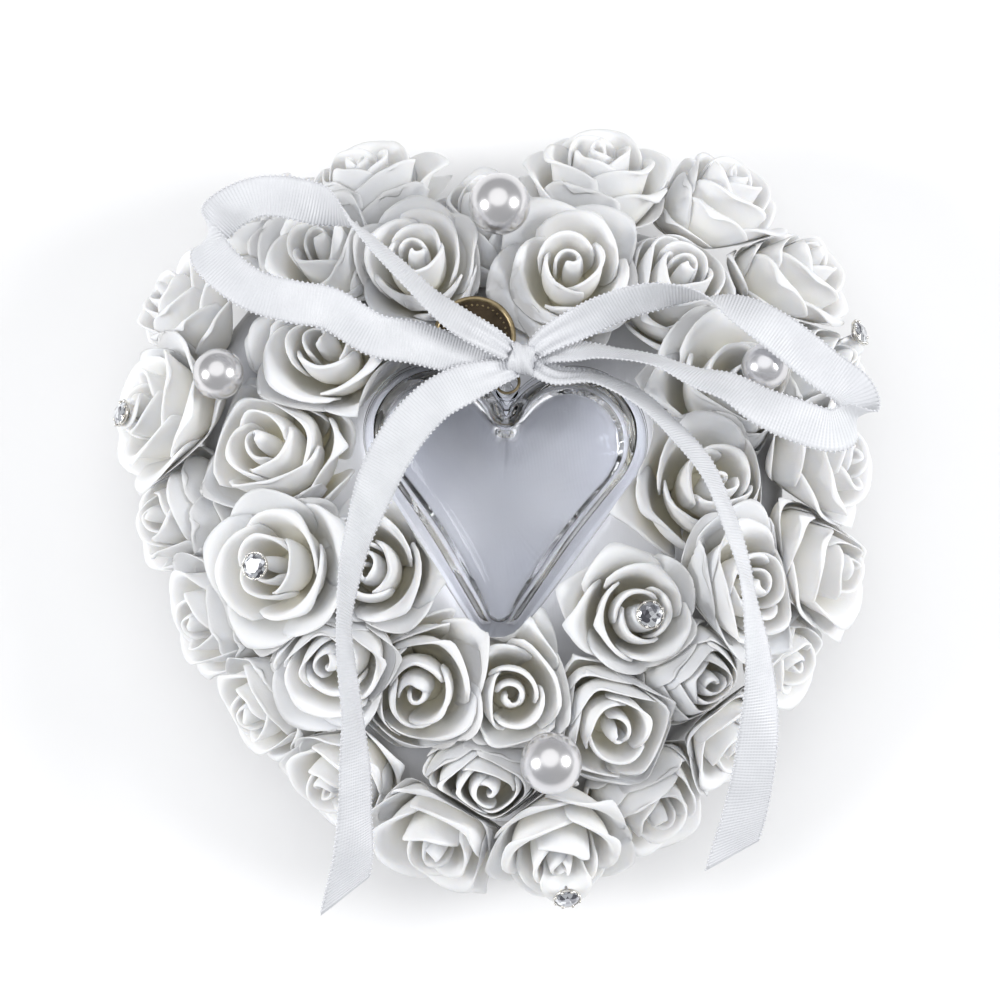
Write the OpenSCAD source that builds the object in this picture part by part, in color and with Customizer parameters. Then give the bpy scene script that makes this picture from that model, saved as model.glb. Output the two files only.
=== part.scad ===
// Ring bearer pillow: a heart-shaped cushion covered with foam roses, with a clear
// heart-shaped ring box in its middle, a ribbon bow, a charm, pearls and rhinestones.
// The pillow lies on its back. The origin is on the flat back, under the ring box,
// +Z points out of the roses and +Y towards the cleft of the heart. Millimetres.

/* [Pillow] */
// Radius of each of the two upper lobes of the cushion
lobe_r = 41; // [40:0.5:42]
// Radius of the rounded lower end of the cushion
tail_r = 55; // [54:1:56]
// Thickness of the stiff back board
board_t = 2; // [1.5:0.5:2.5]
// Height of the top of the foam core above the back
core_top = 34; // [33:0.5:34]
// Width of the sloping edge round the top of the core
slope_w = 11; // [10:1:12]
// Thickness of the satin cover
cover_t = 1.2; // [0.8:0.2:1.6]

/* [Ring box] */
// Turn of the ring box about the vertical, degrees
box_turn = -8; // [-10:1:-6]
// Radius of each lobe of the ring box
box_lobe_r = 16.9; // [16.5:0.1:17]
// Wall thickness of the clear shells
box_wall = 1.2; // [1:0.1:1.4]
// Height of the parting line of the box
rim_z = 40; // [39.5:0.5:40]
// Height of the lid above the parting line
dome_h = 11.6; // [11:0.2:12]
// Depth of the lower shell below the parting line
bowl_h = 17; // [16:0.5:17.5]

/* [Roses] */
// Height of a rose above the cushion
rose_h = 21; // [20:0.5:21.5]
// Radius of the base of a rose
rose_foot_r = 5; // [4:0.5:5.5]
// Radius of the stem that is pushed into the foam
stem_r = 2; // [1.5:0.5:2.5]
// Length of that stem
stem_l = 6; // [5:1:8]

/* [Ribbon] */
// Width of the ribbon
ribbon_w = 10; // [9:0.5:10]
// Thickness of the ribbon
ribbon_t = 0.6; // [0.4:0.1:0.7]

/* [Pearls and stones] */
// Radius of a rhinestone
stone_r = 2.8; // [2.5:0.1:3]
// Radius of the pins that hold pearls and rhinestones
pin_r = 0.5; // [0.4:0.1:0.6]

/* [Charm] */
// Radius of the charm
charm_r = 9.4; // [9:0.1:9.5]
// Thickness of the charm
charm_t = 1.6; // [1.4:0.1:1.8]

/* [Hidden] */
$fn = 48;

white_foam = [0.96, 0.95, 0.93];
satin = [0.95, 0.95, 0.96];
clear = [0.85, 0.87, 0.93, 0.45];

// Steps in each arc of the heart outlines.
arc_n = 20;

// Lobe and lower-end centres of the cushion outline.
lobe_x = 26;
lobe_y = 25;
tail_y = -12;

// Lobe centres and tip of the ring box heart, in its own turned frame.
box_lobe_x = 15.6;
box_lobe_y = 15.6;
box_mid_y = 5;
box_mid_r = 12;
box_tip_y = -26.6;
box_tip_r = 6;

// Each rose: x, y and z of its foot, azimuth and tilt of its axis, radius of its head.
ROSES = [
  [3, 58, 29, 88, 46, 11], [-23, 67, 28, 100, 50, 11.5], [-44, 62, 26, 122, 58, 10.5],
  [-60, 50, 25, 145, 62, 10.5], [-65, 29, 25, 165, 60, 11.5], [-62, 7, 25, 182, 62, 11],
  [-56, -15, 25, 195, 64, 11.5], [-49, -34, 25, 210, 64, 11], [-37, -51, 25, 225, 62, 11],
  [-17, -63, 25, 245, 64, 11.5], [5, -66, 25, 270, 60, 11.5], [22, -61, 25, 295, 64, 11.5],
  [40, -50, 25, 305, 64, 11.5], [52, -34, 25, 320, 64, 11.5], [59, -15, 25, 340, 64, 11.5],
  [62, 5, 25, -5, 62, 11.5], [66, 24, 25, 12, 60, 11], [63, 43, 25, 32, 60, 11],
  [51, 59, 25, 52, 56, 11], [28, 65, 28, 78, 46, 11.5],
  [20, 48, 35, 75, 10, 11], [41, 42, 35, 45, 24, 11], [51, 19, 35, 15, 18, 11.5],
  [43, -2, 35, -5, 18, 11], [46, -23, 35, 335, 30, 11], [25, -28, 35, 315, 14, 10],
  [35, -40, 35, 310, 32, 9], [17, -48, 35, 285, 28, 11], [-3, -42, 35, 265, 14, 9.5],
  [-21, -37, 35, 242, 22, 9.5], [-36, -28, 35, 225, 28, 9], [-46, -10, 35, 190, 26, 11],
  [-45, 15, 35, 165, 28, 11], [-33, 36, 35, 145, 16, 11], [-31, 55, 34, 122, 28, 10],
  [-13, 53, 35, 105, 14, 10], [-29, -13, 34.5, 200, 12, 9.5], [-9, -58, 34, 260, 26, 9]
];

// Each pearl: x, y and z of its centre and its radius.
PEARL_TOP = [6, 65, 58, 7];
PEARL_LEFT = [-61, 34, 51, 5.8];
PEARL_RIGHT = [61, 21, 58.4, 5.3];
PEARL_BOTTOM = [4, -62, 55, 6.8];

// Height of the lower end of every pearl pin.
pin_low = 20;

// Each rhinestone: the rose it is pinned into, then its place on that rose's own axes.
STONES = [
  [17, 2, 4], [5, -3, 4], [32, 0, 0], [26, 0, 0], [11, 6, 0]
];

// The line through the box ear that carries the tie and the charm.
ear_pos = [3.7, 26.2];
knot_pos = [7.4, 29.8, 53.2];
knot_r = 3.6;
tie_r = 0.9;
charm_az = 119;
charm_z = 48;
ring_r = 2.7;
ring_wire = 0.35;
bail_r = 1.1;
bail_wire = 0.4;

// Each ribbon: x, y and z of its centre line, azimuth and lift of its width, share of full width.
LEFT_LOOP = [
  [5, 29, 52, 64, 0, 0.45], [-1, 30, 53, 66, 10, 0.7], [-7, 32, 54, 66, 10, 0.9],
  [-16, 35, 57, 64, 10, 1], [-25, 37, 60, 64, 10, 1], [-34, 43, 63, 59, 8, 1],
  [-42, 45, 65, 56, 5, 1], [-50, 48, 66, 52, 0, 1], [-56, 53, 66, 54, 0, 1],
  [-60, 60, 64, 62, 0, 1], [-57, 67, 62, 74, 0, 1], [-50, 71, 61, 86, 0, 1],
  [-43, 71, 61, 86, 5, 1], [-35, 68, 62, 79, 25, 1], [-30, 65, 63, 60, 75, 1],
  [-26, 61, 64, -136, 70, 1], [-19, 52, 64, -136, 60, 1], [-12, 44, 61.5, -136, 50, 1],
  [-5, 38, 58.5, -136, 35, 0.85], [1, 34, 56.5, -136, 15, 0.65], [5, 31, 55, -131, 5, 0.45]
];
RIGHT_LOOP = [
  [9, 30, 52, -101, 10, 0.45], [14, 31, 52.5, -101, 30, 0.7], [20, 30, 54.5, -101, 45, 0.9],
  [27, 28, 58, -106, 62, 1], [37, 24, 62, -111, 60, 1], [45, 19, 64.5, -114, 50, 1],
  [52, 15, 67, -116, 35, 1], [58, 10, 68, -116, 15, 1], [65, 6, 68, -118, 0, 1],
  [73, 3, 67, -124, 0, 1], [79, 6, 65, -128, 0, 1], [79, 12, 64, -131, 0, 1],
  [73, 18, 64, -131, 0, 1], [64, 27, 64.5, -129, 5, 1], [56, 33, 65, -126, 35, 1],
  [47, 37, 65, -116, 85, 1], [37, 38, 64, 99, 62, 1], [28, 37, 61, 99, 58, 1],
  [20, 35, 58, 102, 45, 0.85], [14, 33, 56.5, 99, 30, 0.65], [10, 31, 55, 99, 10, 0.45]
];
LEFT_TAIL = [
  [6, 28, 53, 104, 0, 0.45], [1, 27, 54, 108, 0, 0.7], [-6, 25, 55, 112, 0, 0.95],
  [-14, 21, 56, 129, 5, 1], [-22, 13, 57, 142, 10, 1], [-28, 3, 58.5, 154, 30, 1],
  [-33, -9, 61, 162, 55, 1], [-37, -23, 62.5, 170, 70, 1], [-38, -36, 62, 174, 70, 1],
  [-38, -50, 59, 176, 60, 1], [-39, -62, 54, 174, 50, 1], [-41, -75, 47, 170, 36, 1],
  [-44, -85, 42, 166, 15, 1]
];
RIGHT_TAIL = [
  [10, 28, 53, -101, 20, 0.45], [15, 25, 54, -106, 40, 0.7], [24, 23, 56, -111, 60, 0.95],
  [33, 16, 59, -126, 58, 1], [42, 4, 62, -141, 57, 1], [47, -8, 64, -154, 60, 1],
  [50, -23, 64.5, -166, 65, 1], [51, -36, 64, -176, 62, 1], [51, -51, 60, 174, 40, 1],
  [49, -64, 54, 166, 20, 1], [46, -75, 47, 158, 10, 1], [42, -85, 41, 154, 5, 1]
];

// Points along an arc, ends included.
function arc_points(cx, cy, r, from, to, n) =
  [for (i = [0 : n]) let (a = from + (to - from) * i / n) [cx + r * cos(a), cy + r * sin(a)]];

// Heart outline: two lobe arcs that meet at the cleft, and a lower arc, joined by straight sides.
function heart_points(lx, ly, lr, ty, tr, n) =
  let (
    reach = sqrt(lx * lx + (ly - ty) * (ly - ty)),
    side = atan2(ly - ty, lx) - acos((tr - lr) / reach),
    cleft = 180 - acos(lx / lr),
    left = arc_points(-lx, ly, lr, 180 - cleft, 180 - side, n)
  )
  concat(
    arc_points(lx, ly, lr, side, cleft, n),
    [for (i = [1 : n]) left[i]],
    arc_points(0, ty, tr, 180 - side, 360 + side, n)
  );

function cushion_points(grow) =
  heart_points(lobe_x, lobe_y, lobe_r + grow, tail_y, tail_r + grow, arc_n);

function at_height(points, z) = [for (p = points) [p[0], p[1], z]];

// Upright heart-shaped block whose upper edge slopes in.
module cushion(grow, low, slope_start, top, slope) {
  outer = cushion_points(grow);
  inner = cushion_points(grow - slope);
  n = len(outer);
  polyhedron(
    points = concat(at_height(outer, low), at_height(outer, slope_start), at_height(inner, top)),
    faces = concat(
      [[for (i = [0 : n - 1]) i]],
      [for (k = [0, 1], i = [0 : n - 1]) [k * n + i, (k + 1) * n + i, k * n + (i + 1) % n]],
      [for (k = [0, 1], i = [0 : n - 1])
        [(k + 1) * n + i, (k + 1) * n + (i + 1) % n, k * n + (i + 1) % n]],
      [[for (i = [0 : n - 1]) 3 * n - 1 - i]]
    )
  );
}

// One side of the ring box as a thin slice, drawn in by the amount given.
module box_slice(side, inset, z) {
  translate([side * box_lobe_x, box_lobe_y, z]) cylinder(r = box_lobe_r - inset, h = 0.2, $fn = 32);
  translate([0, box_mid_y, z]) cylinder(r = box_mid_r - inset * 0.6, h = 0.2, $fn = 32);
  translate([0, box_tip_y + inset * 0.75, z]) cylinder(r = box_tip_r - inset * 0.35, h = 0.2, $fn = 32);
}

// A puffed heart: one hull per side through three slices.
module puffed_heart(inset, z_rim, z_shoulder, z_crown) {
  for (side = [-1, 1]) {
    hull() {
      box_slice(side, inset, z_rim);
      box_slice(side, inset + 3, z_shoulder);
      box_slice(side, inset + 9, z_crown);
    }
  }
}

// Flat heart outline of the rim.
module rim_outline(grow) {
  polygon(heart_points(box_lobe_x, box_lobe_y, box_lobe_r + grow, box_tip_y, box_tip_r + grow, arc_n));
}

module box_pocket(grow) {
  rotate([0, 0, box_turn]) translate([0, 0, rim_z - bowl_h])
    linear_extrude(height = bowl_h + 4) rim_outline(grow);
}

module back_board() {
  color("tan") linear_extrude(height = board_t) polygon(cushion_points(cover_t));
}

module foam_core() {
  color(white_foam) difference() {
    cushion(0, board_t, core_top - slope_w, core_top, slope_w);
    box_pocket(-1);
  }
}

module satin_cover() {
  color(satin) difference() {
    cushion(cover_t, board_t, core_top - slope_w + cover_t / 2, core_top + cover_t, slope_w);
    cushion(0, board_t - 1, core_top - slope_w, core_top, slope_w);
    box_pocket(-1);
  }
}

module ring_box_bowl() {
  color(clear) rotate([0, 0, box_turn]) difference() {
    union() {
      translate([0, 0, rim_z - 1.5]) linear_extrude(height = 1.2) rim_outline(0);
      puffed_heart(1.4, rim_z - 1.6, rim_z - bowl_h + 7, rim_z - bowl_h);
    }
    puffed_heart(1.4 + box_wall, rim_z - 0.2, rim_z - bowl_h + 7, rim_z - bowl_h + box_wall);
  }
}

module ring_box_lid() {
  color(clear) {
    rotate([0, 0, box_turn]) difference() {
      union() {
        translate([0, 0, rim_z]) linear_extrude(height = 1.3) rim_outline(0);
        puffed_heart(1.4, rim_z, rim_z + 6, rim_z + dome_h - 0.2);
      }
      puffed_heart(1.4 + box_wall, rim_z - 0.2, rim_z + 6, rim_z + dome_h - 0.2 - box_wall);
    }
    difference() {
      union() {
        translate([ear_pos[0], ear_pos[1], rim_z]) cylinder(r = 2.9, h = 1.3);
        rotate([0, 0, box_turn]) translate([-2, 20.6, rim_z]) cube([4, 4.2, 1.3]);
      }
      translate([ear_pos[0], ear_pos[1], rim_z - 1]) cylinder(r = 1.4, h = 4);
    }
  }
}

// Foam rose on its own axis, foot at the origin, with the stem below.
module rose_body(r) {
  rotate_extrude() polygon([
    [0, -stem_l], [stem_r, -stem_l], [stem_r, 0], [rose_foot_r, 0],
    [r * 0.82, rose_h * 0.32], [r, rose_h * 0.62], [r * 0.94, rose_h * 0.84],
    [r * 0.6, rose_h * 0.98], [0, rose_h]
  ]);
}

module on_rose(i) {
  q = ROSES[i - 1];
  translate([q[0], q[1], q[2]]) rotate([0, q[4], q[3]]) children();
}

module rose(i) {
  color(white_foam) on_rose(i) rose_body(ROSES[i - 1][5]);
}

module pearl(p) {
  color("white") translate([p[0], p[1], p[2]]) difference() {
    sphere(r = p[3]);
    translate([0, 0, -p[3] - 1]) cylinder(r = pin_r, h = p[3] * 1.2);
  }
}

// Pin from inside the foam core up into the hole of a pearl.
module pearl_pin(p) {
  translate([p[0], p[1], pin_low]) cylinder(r = pin_r - 0.05, h = p[2] - p[3] * 0.4 - pin_low);
}

module pearl_pins() {
  color("silver") for (p = [PEARL_TOP, PEARL_LEFT, PEARL_RIGHT, PEARL_BOTTOM]) pearl_pin(p);
}

module on_stone(s) {
  on_rose(s[0]) translate([s[1], s[2], rose_h]) children();
}

// Round faceted stone: flat table on top, point at the bottom.
module rhinestones() {
  color("gainsboro") for (s = STONES) on_stone(s) rotate_extrude() polygon([
    [0, 1.4], [stone_r * 0.84, 2.9], [stone_r, 2.9], [stone_r, 3.2], [stone_r * 0.6, 4.1], [0, 4.1]
  ]);
}

module rhinestone_cups() {
  color("silver") for (s = STONES) on_stone(s) rotate_extrude() polygon([
    [0, 0.9], [stone_r * 0.84 + 0.3, 2.4], [stone_r + 0.35, 2.5], [stone_r + 0.35, 3.2],
    [stone_r + 0.02, 3.2], [stone_r + 0.02, 2.88], [stone_r * 0.84 + 0.02, 2.88], [0, 1.38]
  ]);
}

module rhinestone_pins() {
  color("silver") for (s = STONES) on_stone(s) translate([0, 0, -6]) cylinder(r = pin_r, h = 6.88);
}

// Frame of the charm: origin on the tie, +X towards the middle of the disc.
module on_charm() {
  translate([ear_pos[0], ear_pos[1], charm_z]) rotate([0, 0, charm_az]) children();
}

module charm_disc() {
  middle = ring_r + bail_r * 0.75 + charm_r;
  color("darkgoldenrod") on_charm() {
    translate([middle, 0, -charm_t / 2]) difference() {
      cylinder(r = charm_r, h = charm_t);
      translate([0, 0, charm_t - 0.4]) cylinder(r = charm_r - 1.2, h = 1);
    }
    difference() {
      translate([ring_r, 0, 0]) rotate([90, 0, 0]) rotate_extrude()
        translate([bail_r, 0]) circle(r = bail_wire, $fn = 24);
      translate([middle, 0, -charm_t]) cylinder(r = charm_r - 0.1, h = 2 * charm_t);
    }
  }
}

module charm_ring() {
  color("goldenrod") on_charm() rotate_extrude() translate([ring_r, 0]) circle(r = ring_wire, $fn = 24);
}

module bow_knot() {
  color("white") translate(knot_pos) sphere(r = knot_r);
}

// Short ribbon tie from the knot through the ear of the box, with a stop below the ear.
module bow_tie() {
  color("white") {
    translate([ear_pos[0], ear_pos[1], rim_z - 1.2]) cylinder(r = tie_r, h = 14);
    translate([ear_pos[0], ear_pos[1], rim_z - 2]) cylinder(r = 1.4, h = 1.6);
    translate([ear_pos[0], ear_pos[1], rim_z + 12.4]) rotate([0, 90, 44]) cylinder(r = tie_r, h = 2.6);
  }
}

// Thin rod across the ribbon at one station.
module station(q) {
  translate([q[0], q[1], q[2]]) rotate([0, -q[4], q[3]])
    cube([ribbon_w * q[5], ribbon_t, ribbon_t], center = true);
}

module strip(path) {
  color("white") for (i = [0 : len(path) - 2]) hull() {
    station(path[i]);
    station(path[i + 1]);
  }
}

module bow_left_loop() { strip(LEFT_LOOP); }
module bow_right_loop() { strip(RIGHT_LOOP); }
module bow_left_tail() { strip(LEFT_TAIL); }
module bow_right_tail() { strip(RIGHT_TAIL); }

back_board();
foam_core();
satin_cover();
ring_box_bowl();
ring_box_lid();
rose(1);  // rose_01
rose(2);  // rose_02
rose(3);  // rose_03
rose(4);  // rose_04
rose(5);  // rose_05
rose(6);  // rose_06
rose(7);  // rose_07
rose(8);  // rose_08
rose(9);  // rose_09
rose(10);  // rose_10
rose(11);  // rose_11
rose(12);  // rose_12
rose(13);  // rose_13
rose(14);  // rose_14
rose(15);  // rose_15
rose(16);  // rose_16
rose(17);  // rose_17
rose(18);  // rose_18
rose(19);  // rose_19
rose(20);  // rose_20
rose(21);  // rose_21
rose(22);  // rose_22
rose(23);  // rose_23
rose(24);  // rose_24
rose(25);  // rose_25
rose(26);  // rose_26
rose(27);  // rose_27
rose(28);  // rose_28
rose(29);  // rose_29
rose(30);  // rose_30
rose(31);  // rose_31
rose(32);  // rose_32
rose(33);  // rose_33
rose(34);  // rose_34
rose(35);  // rose_35
rose(36);  // rose_36
rose(37);  // rose_37
rose(38);  // rose_38
pearl(PEARL_TOP);  // pearl_top
pearl(PEARL_LEFT);  // pearl_left
pearl(PEARL_RIGHT);  // pearl_right
pearl(PEARL_BOTTOM);  // pearl_bottom
pearl_pins();
rhinestones();
rhinestone_cups();
rhinestone_pins();
charm_disc();
charm_ring();
bow_knot();
bow_tie();
bow_left_loop();
bow_right_loop();
bow_left_tail();
bow_right_tail();
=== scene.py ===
"""Ring bearer pillow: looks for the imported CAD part. Metres, row frame; tables below are in mm."""
import math
import random

import bpy
import numpy as np
from mathutils import Matrix, Vector


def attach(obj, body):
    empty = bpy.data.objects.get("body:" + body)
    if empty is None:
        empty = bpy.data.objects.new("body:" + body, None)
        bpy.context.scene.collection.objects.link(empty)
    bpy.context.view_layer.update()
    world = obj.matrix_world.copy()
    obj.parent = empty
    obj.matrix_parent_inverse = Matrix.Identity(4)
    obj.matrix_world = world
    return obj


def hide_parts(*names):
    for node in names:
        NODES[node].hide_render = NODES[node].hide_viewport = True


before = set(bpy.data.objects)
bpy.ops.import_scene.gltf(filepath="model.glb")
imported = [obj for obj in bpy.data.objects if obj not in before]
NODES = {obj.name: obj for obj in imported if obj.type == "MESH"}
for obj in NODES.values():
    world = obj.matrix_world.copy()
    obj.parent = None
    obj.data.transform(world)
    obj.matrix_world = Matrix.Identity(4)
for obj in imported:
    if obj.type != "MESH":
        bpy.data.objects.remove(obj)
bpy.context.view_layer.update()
MM = 0.001

# Places, as in the CAD source -------------------------------------------------
# rose: x, y, z of the foot, azimuth and tilt of the axis, radius of the plain head
ROSES = [
    (3, 58, 29, 88, 46, 11), (-23, 67, 28, 100, 50, 11.5), (-44, 62, 26, 122, 58, 10.5),
    (-60, 50, 25, 145, 62, 10.5), (-65, 29, 25, 165, 60, 11.5), (-62, 7, 25, 182, 62, 11),
    (-56, -15, 25, 195, 64, 11.5), (-49, -34, 25, 210, 64, 11), (-37, -51, 25, 225, 62, 11),
    (-17, -63, 25, 245, 64, 11.5), (5, -66, 25, 270, 60, 11.5), (22, -61, 25, 295, 64, 11.5),
    (40, -50, 25, 305, 64, 11.5), (52, -34, 25, 320, 64, 11.5), (59, -15, 25, 340, 64, 11.5),
    (62, 5, 25, -5, 62, 11.5), (66, 24, 25, 12, 60, 11), (63, 43, 25, 32, 60, 11),
    (51, 59, 25, 52, 56, 11), (28, 65, 28, 78, 46, 11.5),
    (20, 48, 35, 75, 10, 11), (41, 42, 35, 45, 24, 11), (51, 19, 35, 15, 18, 11.5),
    (43, -2, 35, -5, 18, 11), (46, -23, 35, 335, 30, 11), (25, -28, 35, 315, 14, 10),
    (35, -40, 35, 310, 32, 9), (17, -48, 35, 285, 28, 11), (-3, -42, 35, 265, 14, 9.5),
    (-21, -37, 35, 242, 22, 9.5), (-36, -28, 35, 225, 28, 9), (-46, -10, 35, 190, 26, 11),
    (-45, 15, 35, 165, 28, 11), (-33, 36, 35, 145, 16, 11), (-31, 55, 34, 122, 28, 10),
    (-13, 53, 35, 105, 14, 10), (-29, -13, 34.5, 200, 12, 9.5), (-9, -58, 34, 260, 26, 9),
]
ROSE_H = 21.0
PEARLS = {"pearl_top": (6, 65, 58, 7), "pearl_left": (-61, 34, 51, 5.8),
          "pearl_right": (61, 21, 58.4, 5.3), "pearl_bottom": (4, -62, 55, 6.8)}
STONES = [(17, 2, 4), (5, -3, 4), (32, 0, 0), (26, 0, 0), (11, 6, 0)]
STONE_R = 2.8
BOX_TURN = -8.0
BOX_HEART = (15.6, 15.6, 16.9, -26.6, 6)
CUSHION_HEART = (26, 25, 41 + 1.2, -12, 55 + 1.2)
HUB = np.array([0.0, 2.0])  # every outline is star-shaped about this point
RIM_Z = 40.0
DOME_H = 11.6
BOWL_H = 17.0
BOX_WALL = 1.2
FLANGE = 2.3
EAR = (3.7, 26.2)
KNOT = (7.4, 29.8, 53.2)
CHARM_AZ, CHARM_Z, CHARM_R, CHARM_T = 119.0, 48.0, 9.4, 1.6
RING_R, RING_WIRE, BAIL_R, BAIL_WIRE = 2.7, 0.35, 1.1, 0.4
CHARM_REACH = RING_R + BAIL_R * 0.75 + CHARM_R  # from the tie to the middle of the charm
RIBBON_W = 10.0
# ribbon: x, y, z of the centre line, azimuth and lift of the width, share of full width
LEFT_LOOP = [
    (5, 29, 52, 64, 0, 0.45), (-1, 30, 53, 66, 10, 0.7), (-7, 32, 54, 66, 10, 0.9),
    (-16, 35, 57, 64, 10, 1), (-25, 37, 60, 64, 10, 1), (-34, 43, 63, 59, 8, 1),
    (-42, 45, 65, 56, 5, 1), (-50, 48, 66, 52, 0, 1), (-56, 53, 66, 54, 0, 1),
    (-60, 60, 64, 62, 0, 1), (-57, 67, 62, 74, 0, 1), (-50, 71, 61, 86, 0, 1),
    (-43, 71, 61, 86, 5, 1), (-35, 68, 62, 79, 25, 1), (-30, 65, 63, 60, 75, 1),
    (-26, 61, 64, -136, 70, 1), (-19, 52, 64, -136, 60, 1), (-12, 44, 61.5, -136, 50, 1),
    (-5, 38, 58.5, -136, 35, 0.85), (1, 34, 56.5, -136, 15, 0.65), (5, 31, 55, -131, 5, 0.45),
]
RIGHT_LOOP = [
    (9, 30, 52, -101, 10, 0.45), (14, 31, 52.5, -101, 30, 0.7), (20, 30, 54.5, -101, 45, 0.9),
    (27, 28, 58, -106, 62, 1), (37, 24, 62, -111, 60, 1), (45, 19, 64.5, -114, 50, 1),
    (52, 15, 67, -116, 35, 1), (58, 10, 68, -116, 15, 1), (65, 6, 68, -118, 0, 1),
    (73, 3, 67, -124, 0, 1), (79, 6, 65, -128, 0, 1), (79, 12, 64, -131, 0, 1),
    (73, 18, 64, -131, 0, 1), (64, 27, 64.5, -129, 5, 1), (56, 33, 65, -126, 35, 1),
    (47, 37, 65, -116, 85, 1), (37, 38, 64, 99, 62, 1), (28, 37, 61, 99, 58, 1),
    (20, 35, 58, 102, 45, 0.85), (14, 33, 56.5, 99, 30, 0.65), (10, 31, 55, 99, 10, 0.45),
]
LEFT_TAIL = [
    (6, 28, 53, 104, 0, 0.45), (1, 27, 54, 108, 0, 0.7), (-6, 25, 55, 112, 0, 0.95),
    (-14, 21, 56, 129, 5, 1), (-22, 13, 57, 142, 10, 1), (-28, 3, 58.5, 154, 30, 1),
    (-33, -9, 61, 162, 55, 1), (-37, -23, 62.5, 170, 70, 1), (-38, -36, 62, 174, 70, 1),
    (-38, -50, 59, 176, 60, 1), (-39, -62, 54, 174, 50, 1), (-41, -75, 47, 170, 36, 1),
    (-44, -85, 42, 166, 15, 1),
]
RIGHT_TAIL = [
    (10, 28, 53, -101, 20, 0.45), (15, 25, 54, -106, 40, 0.7), (24, 23, 56, -111, 60, 0.95),
    (33, 16, 59, -126, 58, 1), (42, 4, 62, -141, 57, 1), (47, -8, 64, -154, 60, 1),
    (50, -23, 64.5, -166, 65, 1), (51, -36, 64, -176, 62, 1), (51, -51, 60, 174, 40, 1),
    (49, -64, 54, 166, 20, 1), (46, -75, 47, 158, 10, 1), (42, -85, 41, 154, 5, 1),
]


# Camera -----------------------------------------------------------------------
def make_camera():
    """Nearly from above, from the tip's side, turned a little about the vertical."""
    data = bpy.data.cameras.new("camera")
    data.sensor_width = 36.0
    data.lens = 110.9
    data.clip_start = 0.01
    data.clip_end = 20
    cam = bpy.data.objects.new("camera", data)
    bpy.context.scene.collection.objects.link(cam)
    lift, turn = math.radians(78), math.radians(-6)
    up_ground = Vector((-math.sin(turn), math.cos(turn), 0))
    right = Vector((math.cos(turn), math.sin(turn), 0))
    away = -up_ground * math.cos(lift) + Vector((0, 0, 1)) * math.sin(lift)
    up = up_ground * math.sin(lift) + Vector((0, 0, 1)) * math.cos(lift)
    target = Vector((0, 0, 0.040)) - right * 0.0007 + up * 0.0007
    m = Matrix((right, up, away)).transposed().to_4x4()
    m.translation = target + away * 0.700
    cam.matrix_world = m
    bpy.context.scene.camera = cam


# Mesh helpers -----------------------------------------------------------------
def new_object(name, verts, faces, material, body, replaces=(), smooth=True, mats=None):
    """Mesh object from points in mm. mats is one material index per face."""
    mesh = bpy.data.meshes.new(name)
    points = [tuple(v) for v in np.asarray(verts, float) * MM]
    mesh.from_pydata(points, [], [tuple(map(int, f)) for f in faces])
    for m in (material if isinstance(material, (list, tuple)) else [material]):
        mesh.materials.append(m)
    if mats is not None:
        mesh.polygons.foreach_set("material_index", list(map(int, mats)))
    mesh.polygons.foreach_set("use_smooth", [smooth] * len(mesh.polygons))
    mesh.update()
    ob = bpy.data.objects.new(name, mesh)
    bpy.context.scene.collection.objects.link(ob)
    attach(ob, body)
    if replaces:
        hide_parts(*replaces)
    return ob


def grid_faces(nu, nv, wrap=False):
    """Quads of a grid of nu by nv points, rows of nu; wrap joins the last column to the first."""
    out = []
    for j in range(nv - 1):
        for i in range(nu if wrap else nu - 1):
            a, b = j * nu + i, j * nu + (i + 1) % nu
            out.append((a, b, b + nu, a + nu))
    return out


def grid_normals(p):
    """Unit normals of a (nv, nu, 3) grid."""
    du = np.gradient(p, axis=1)
    dv = np.gradient(p, axis=0)
    n = np.cross(du, dv)
    return n / np.maximum(np.linalg.norm(n, axis=2, keepdims=True), 1e-9)


def shell(p, thick, edge):
    """Closed shell about a (nv, nu, 3) grid. thick is full thickness; edge is its share at the rim."""
    nv, nu, _ = p.shape
    n = grid_normals(p)
    t = np.full((nv, nu, 1), thick / 2)
    t[0, :], t[-1, :], t[:, 0], t[:, -1] = (thick / 2 * edge,) * 4
    verts = np.concatenate([(p + n * t).reshape(-1, 3), (p - n * t).reshape(-1, 3)])
    m = nu * nv
    faces = grid_faces(nu, nv)
    faces += [(a + m, d + m, c + m, b + m) for a, b, c, d in grid_faces(nu, nv)]
    rim = list(range(nu)) + [j * nu + nu - 1 for j in range(1, nv)]
    rim += [(nv - 1) * nu + i for i in range(nu - 2, -1, -1)] + [j * nu for j in range(nv - 2, 0, -1)]
    for a, b in zip(rim, rim[1:] + rim[:1]):
        faces.append((b, a, a + m, b + m))
    return verts, faces


def revolve(profile, n=48, axis_origin=(0, 0, 0)):
    """Surface of revolution about Z of (radius, height) points; zero radii become poles."""
    verts, faces, rings = [], [], []
    for r, z in profile:
        if r < 1e-6:
            rings.append([len(verts)])
            verts.append((0, 0, z))
        else:
            rings.append(list(range(len(verts), len(verts) + n)))
            turns = [2 * math.pi * k / n for k in range(n)]
            verts += [(r * math.cos(a), r * math.sin(a), z) for a in turns]
    for a, b in zip(rings, rings[1:]):
        for k in range(n):
            k2 = (k + 1) % n
            if len(a) == 1 and len(b) > 1:
                faces.append((a[0], b[k2], b[k]))
            elif len(b) == 1 and len(a) > 1:
                faces.append((a[k], a[k2], b[0]))
            elif len(a) > 1:
                faces.append((a[k], a[k2], b[k2], b[k]))
    return np.array(verts, float) + np.array(axis_origin, float), faces


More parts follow.
